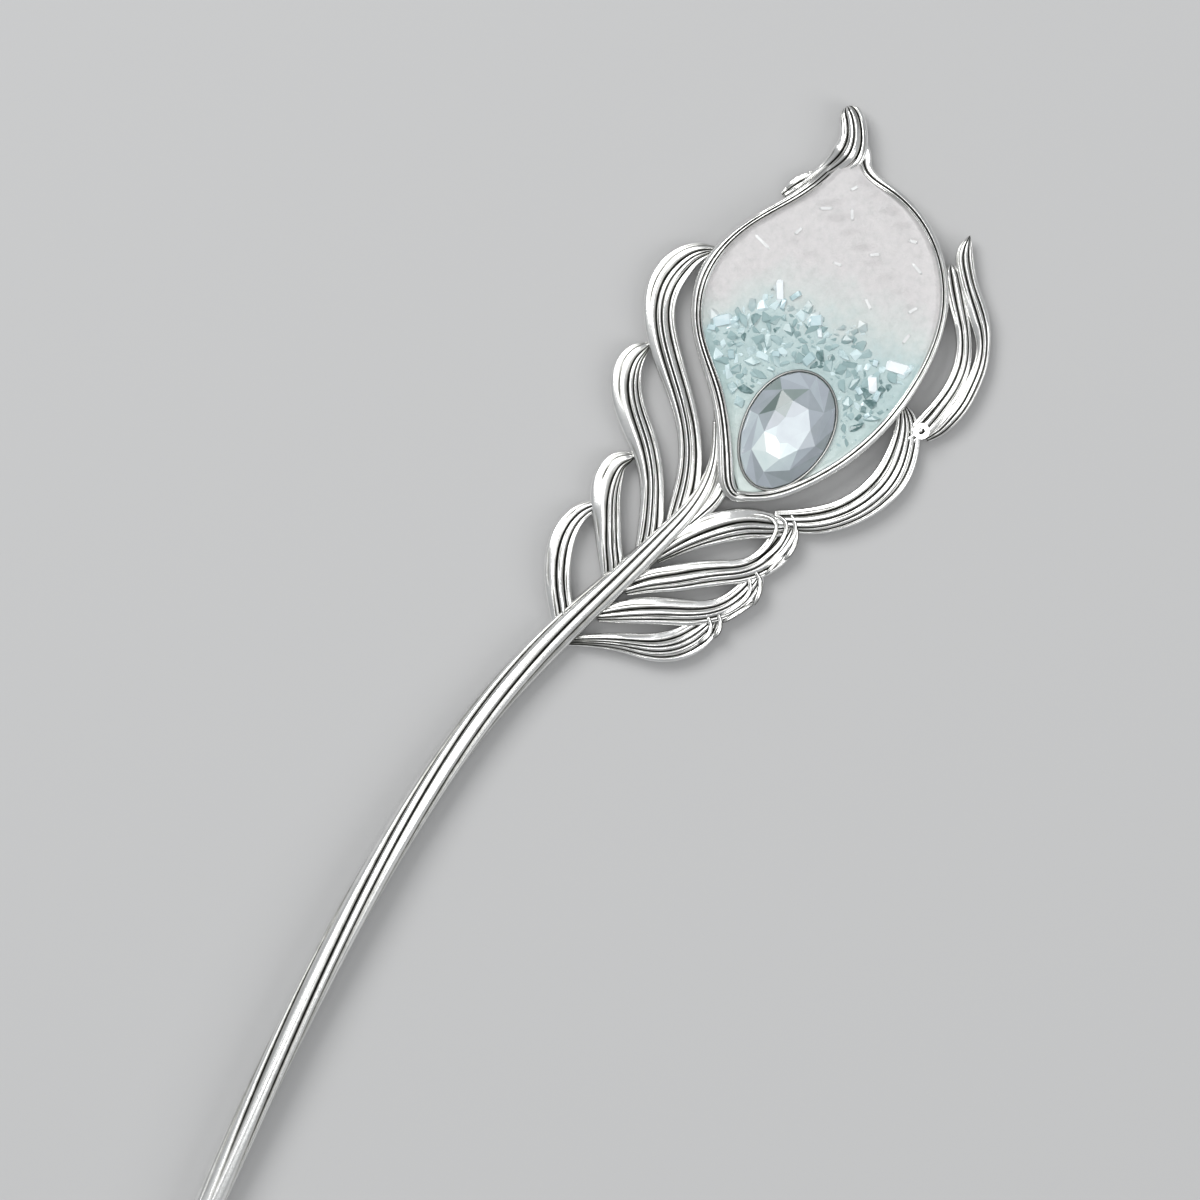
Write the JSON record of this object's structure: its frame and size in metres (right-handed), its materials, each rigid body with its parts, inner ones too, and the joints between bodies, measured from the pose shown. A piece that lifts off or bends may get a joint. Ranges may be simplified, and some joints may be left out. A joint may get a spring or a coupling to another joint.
{
  "type": "hair stick",
  "caption": "Decorative hair stick: a twisted metal stem whose openwork feather head frames a resin bezel with crushed blue-green crystal and an oval faceted stone.",
  "frame": {"origin": "centre of the bounding box in plan, on the surface that the pin lies on", "axes": "+Y along the pin from the stem's point to the tip of the head, +Z out of the decorated face, +X to the right when the face is seen with the head up"},
  "size_m": [0.0344, 0.167, 0.0047],
  "materials": {
    "silver": "polished silver with dark patina in the grooves",
    "resin": "milky cast resin, glossy, pale pinkish white above and blue-green below",
    "aquamarine": "rough broken blue-green crystal",
    "pale_aquamarine": "small bright splinters of the same crystal",
    "quartz": "clear glossy needles",
    "stone": "polished pale lavender-grey faceted stone"
  },
  "bodies": {
    "root": {"stem": "silver", "bezel_frame": "silver", "bezel_strip": "silver", "back_plate": "silver", "stone_collet": "silver", "rim_bud": "silver", "flame_tip": "silver", "plume_left_1": "silver", "plume_left_2": "silver", "plume_left_3": "silver", "plume_left_4": "silver", "plume_right_1": "silver", "plume_right_2": "silver", "plume_right_3": "silver", "plume_right_4": "silver", "plume_right_5": "silver", "plume_right_6": "silver", "plume_right_7": "silver", "tassel_eyelet": "silver", "resin_bed": "resin", "aquamarine_chips": "aquamarine", "aquamarine_glints": "pale_aquamarine", "quartz_slivers": "quartz", "faceted_stone": "stone"}
  },
  "joints": []
}
